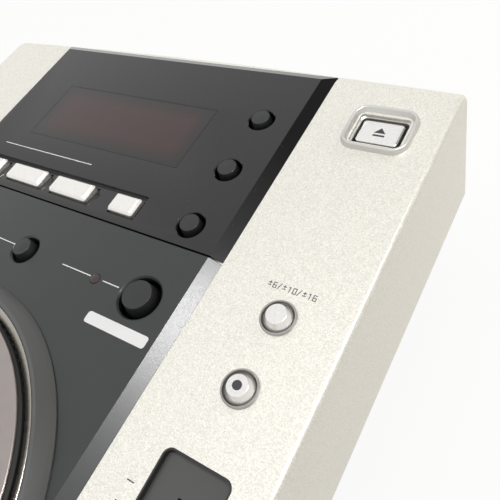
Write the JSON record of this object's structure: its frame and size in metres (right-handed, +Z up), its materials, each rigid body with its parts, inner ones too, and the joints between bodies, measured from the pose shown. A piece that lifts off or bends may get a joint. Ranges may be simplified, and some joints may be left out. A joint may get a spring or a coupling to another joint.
{
  "type": "tabletop dj cd player",
  "caption": "Tabletop disc player for mixing music: sloping pale case, dark display panel, large jog dial, tempo slider, push keys and a front disc slot.",
  "frame": {"origin": "under the middle of the player, on the surface it stands on", "axes": "+Z up, +X to the user's right, the front with the disc slot faces -Y"},
  "size_m": [0.218, 0.288, 0.106],
  "materials": {
    "silver": "warm pale metallic paint, satin",
    "silver_key": "satin metallic",
    "bright_trim": "bright satin trim",
    "gloss_dark": "glossy smoked dark grey",
    "window": "smoked lens with a faint red tint",
    "matt_dark": "fine grained dark grey",
    "surround": "satin grey",
    "black_key": "glossy black",
    "white_key": "pale translucent",
    "case_dark": "matt black",
    "rubber": "matt rubber",
    "steel": "plated steel",
    "board": "circuit board",
    "moulding": "moulded plastic",
    "socket": "sockets"
  },
  "bodies": {
    "case": {"top_shell": "silver", "slot_bezel": "matt_dark", "base_case": "case_dark", "feet": "rubber", "case_screws": "steel", "display_panel": "gloss_dark", "display_window": "window", "display_module": "moulding", "jog_panel": "matt_dark", "loop_light": "moulding", "jog_surround": "surround", "jog_trim_ring": "bright_trim", "jog_well": "case_dark", "eject_bezel": "bright_trim", "key_rings": "bright_trim", "slider_plate": "matt_dark", "slider_unit": "moulding", "key_boards": "board", "main_board": "board", "power_supply": "board", "rear_sockets": "socket", "power_inlet": "socket", "loader_chassis": "steel", "loader_cover": "steel", "loading_motor": "moulding"},
    "jog_dial": {"jog_wheel": "black_key", "jog_plate": "silver_key", "jog_shaft": "steel"},
    "slider": {"slider_knob": "silver_key"},
    "clamp_arm": {"clamp_arm": "steel"},
    "clamper": {"clamper": "moulding"},
    "drive_frame": {"drive_frame": "steel", "drive_motors": "moulding"},
    "lead_screw": {"lead_screw": "steel"},
    "pickup": {"pickup_sled": "moulding"},
    "turntable": {"turntable": "moulding"},
    "roller_arm": {"roller_arm": "steel"},
    "feed_roller": {"feed_roller": "rubber"},
    "eject_button": {"eject_button": "silver_key"},
    "power_button": {"power_button": "black_key"},
    "display_text_button": {"display_text_button": "black_key"},
    "display_time_button": {"display_time_button": "black_key"},
    "auto_cue_button": {"auto_cue_button": "black_key"},
    "effect_button_1": {"effect_button_1": "white_key"},
    "effect_button_2": {"effect_button_2": "white_key"},
    "effect_button_3": {"effect_button_3": "white_key"},
    "effect_hold_button": {"effect_hold_button": "white_key"},
    "loop_in_button": {"loop_in_button": "black_key"},
    "loop_out_button": {"loop_out_button": "black_key"},
    "beat_loop_button": {"beat_loop_button": "black_key"},
    "reloop_button": {"reloop_button": "black_key"},
    "tempo_range_button": {"tempo_range_button": "silver_key"},
    "key_lock_button": {"key_lock_button": "silver_key"},
    "track_back_button": {"track_back_button": "silver_key"},
    "track_next_button": {"track_next_button": "silver_key"},
    "search_back_button": {"search_back_button": "silver_key"},
    "search_next_button": {"search_next_button": "silver_key"},
    "cue_button": {"cue_button": "silver_key"},
    "play_button": {"play_button": "silver_key"}
  },
  "joints": [
    {"name": "eject_press", "type": "slide", "parent": "case", "child": "eject_button", "axis": [0, 0.0872, -0.9962], "range_m": [0, 0.001], "stiffness_N_per_m": 600, "springref_m": -0.001},
    {"name": "power_press", "type": "slide", "parent": "case", "child": "power_button", "axis": [0, -1, 0], "range_m": [0, 0.0025], "stiffness_N_per_m": 800, "springref_m": -0.001},
    {"name": "display_text_press", "type": "slide", "parent": "case", "child": "display_text_button", "axis": [0, 0.0872, -0.9962], "range_m": [0, 0.001], "stiffness_N_per_m": 600, "springref_m": -0.001},
    {"name": "display_time_press", "type": "slide", "parent": "case", "child": "display_time_button", "axis": [0, 0.0872, -0.9962], "range_m": [0, 0.001], "stiffness_N_per_m": 600, "springref_m": -0.001},
    {"name": "auto_cue_press", "type": "slide", "parent": "case", "child": "auto_cue_button", "axis": [0, 0.0872, -0.9962], "range_m": [0, 0.001], "stiffness_N_per_m": 600, "springref_m": -0.001},
    {"name": "effect_1_press", "type": "slide", "parent": "case", "child": "effect_button_1", "axis": [0, 0.0872, -0.9962], "range_m": [0, 0.001], "stiffness_N_per_m": 600, "springref_m": -0.001},
    {"name": "effect_2_press", "type": "slide", "parent": "case", "child": "effect_button_2", "axis": [0, 0.0872, -0.9962], "range_m": [0, 0.001], "stiffness_N_per_m": 600, "springref_m": -0.001},
    {"name": "effect_3_press", "type": "slide", "parent": "case", "child": "effect_button_3", "axis": [0, 0.0872, -0.9962], "range_m": [0, 0.001], "stiffness_N_per_m": 600, "springref_m": -0.001},
    {"name": "effect_hold_press", "type": "slide", "parent": "case", "child": "effect_hold_button", "axis": [0, 0.0872, -0.9962], "range_m": [0, 0.001], "stiffness_N_per_m": 600, "springref_m": -0.001},
    {"name": "loop_in_press", "type": "slide", "parent": "case", "child": "loop_in_button", "axis": [0, 0.0872, -0.9962], "range_m": [0, 0.001], "stiffness_N_per_m": 600, "springref_m": -0.001},
    {"name": "loop_out_press", "type": "slide", "parent": "case", "child": "loop_out_button", "axis": [0, 0.0872, -0.9962], "range_m": [0, 0.001], "stiffness_N_per_m": 600, "springref_m": -0.001},
    {"name": "beat_loop_press", "type": "slide", "parent": "case", "child": "beat_loop_button", "axis": [0, 0.0872, -0.9962], "range_m": [0, 0.001], "stiffness_N_per_m": 600, "springref_m": -0.001},
    {"name": "reloop_press", "type": "slide", "parent": "case", "child": "reloop_button", "axis": [0, 0.0872, -0.9962], "range_m": [0, 0.001], "stiffness_N_per_m": 600, "springref_m": -0.001},
    {"name": "tempo_range_press", "type": "slide", "parent": "case", "child": "tempo_range_button", "axis": [0, 0.0872, -0.9962], "range_m": [0, 0.001], "stiffness_N_per_m": 600, "springref_m": -0.001},
    {"name": "key_lock_press", "type": "slide", "parent": "case", "child": "key_lock_button", "axis": [0, 0.0872, -0.9962], "range_m": [0, 0.001], "stiffness_N_per_m": 600, "springref_m": -0.001},
    {"name": "track_back_press", "type": "slide", "parent": "case", "child": "track_back_button", "axis": [0, 0.0872, -0.9962], "range_m": [0, 0.001], "stiffness_N_per_m": 600, "springref_m": -0.001},
    {"name": "track_next_press", "type": "slide", "parent": "case", "child": "track_next_button", "axis": [0, 0.0872, -0.9962], "range_m": [0, 0.001], "stiffness_N_per_m": 600, "springref_m": -0.001},
    {"name": "search_back_press", "type": "slide", "parent": "case", "child": "search_back_button", "axis": [0, 0.0872, -0.9962], "range_m": [0, 0.001], "stiffness_N_per_m": 600, "springref_m": -0.001},
    {"name": "search_next_press", "type": "slide", "parent": "case", "child": "search_next_button", "axis": [0, 0.0872, -0.9962], "range_m": [0, 0.001], "stiffness_N_per_m": 600, "springref_m": -0.001},
    {"name": "cue_press", "type": "slide", "parent": "case", "child": "cue_button", "axis": [0, 0.0872, -0.9962], "range_m": [0, 0.001], "stiffness_N_per_m": 600, "springref_m": -0.001},
    {"name": "play_press", "type": "slide", "parent": "case", "child": "play_button", "axis": [0, 0.0872, -0.9962], "range_m": [0, 0.001], "stiffness_N_per_m": 600, "springref_m": -0.001},
    {"name": "jog_spin", "type": "hinge", "parent": "case", "child": "jog_dial", "pos_m": [-0.003, -0.05661, 0.08811], "axis": [0, -0.0872, 0.9962], "continuous": true},
    {"name": "tempo_slide", "type": "slide", "parent": "case", "child": "slider", "axis": [0, -0.9962, -0.0872], "range_m": [-0.03, 0.03]},
    {"name": "clamp_arm_swing", "type": "hinge", "parent": "case", "child": "clamp_arm", "pos_m": [0, 0.002, 0.0586], "axis": [1, 0, 0], "range_deg": [0, 1.91]},
    {"name": "clamper_spin", "type": "hinge", "parent": "clamp_arm", "child": "clamper", "pos_m": [0, -0.058, 0.0487], "axis": [0, 0, 1], "continuous": true},
    {"name": "drive_lift", "type": "slide", "parent": "case", "child": "drive_frame", "axis": [0, 0, 1], "range_m": [0, 0.0045]},
    {"name": "turntable_spin", "type": "hinge", "parent": "drive_frame", "child": "turntable", "pos_m": [0, -0.058, 0.038], "axis": [0, 0, 1], "continuous": true},
    {"name": "pickup_slide", "type": "slide", "parent": "drive_frame", "child": "pickup", "axis": [0, 1, 0], "range_m": [0, 0.034]},
    {"name": "lead_screw_spin", "type": "hinge", "parent": "drive_frame", "child": "lead_screw", "pos_m": [0.0315, -0.042, 0.0362], "axis": [0, 1, 0], "range_deg": [-1, 2041]},
    {"name": "roller_arm_swing", "type": "hinge", "parent": "case", "child": "roller_arm", "pos_m": [0, -0.101, 0.031], "axis": [-1, 0, 0], "range_deg": [0, 8.3]},
    {"name": "feed_roller_spin", "type": "hinge", "parent": "roller_arm", "child": "feed_roller", "pos_m": [0, -0.119, 0.0384], "axis": [1, 0, 0], "continuous": true}
  ],
  "couplings": [
    {"joint": "lead_screw_spin", "follows": "pickup_slide", "rad_per_m": 1047.2}
  ]
}
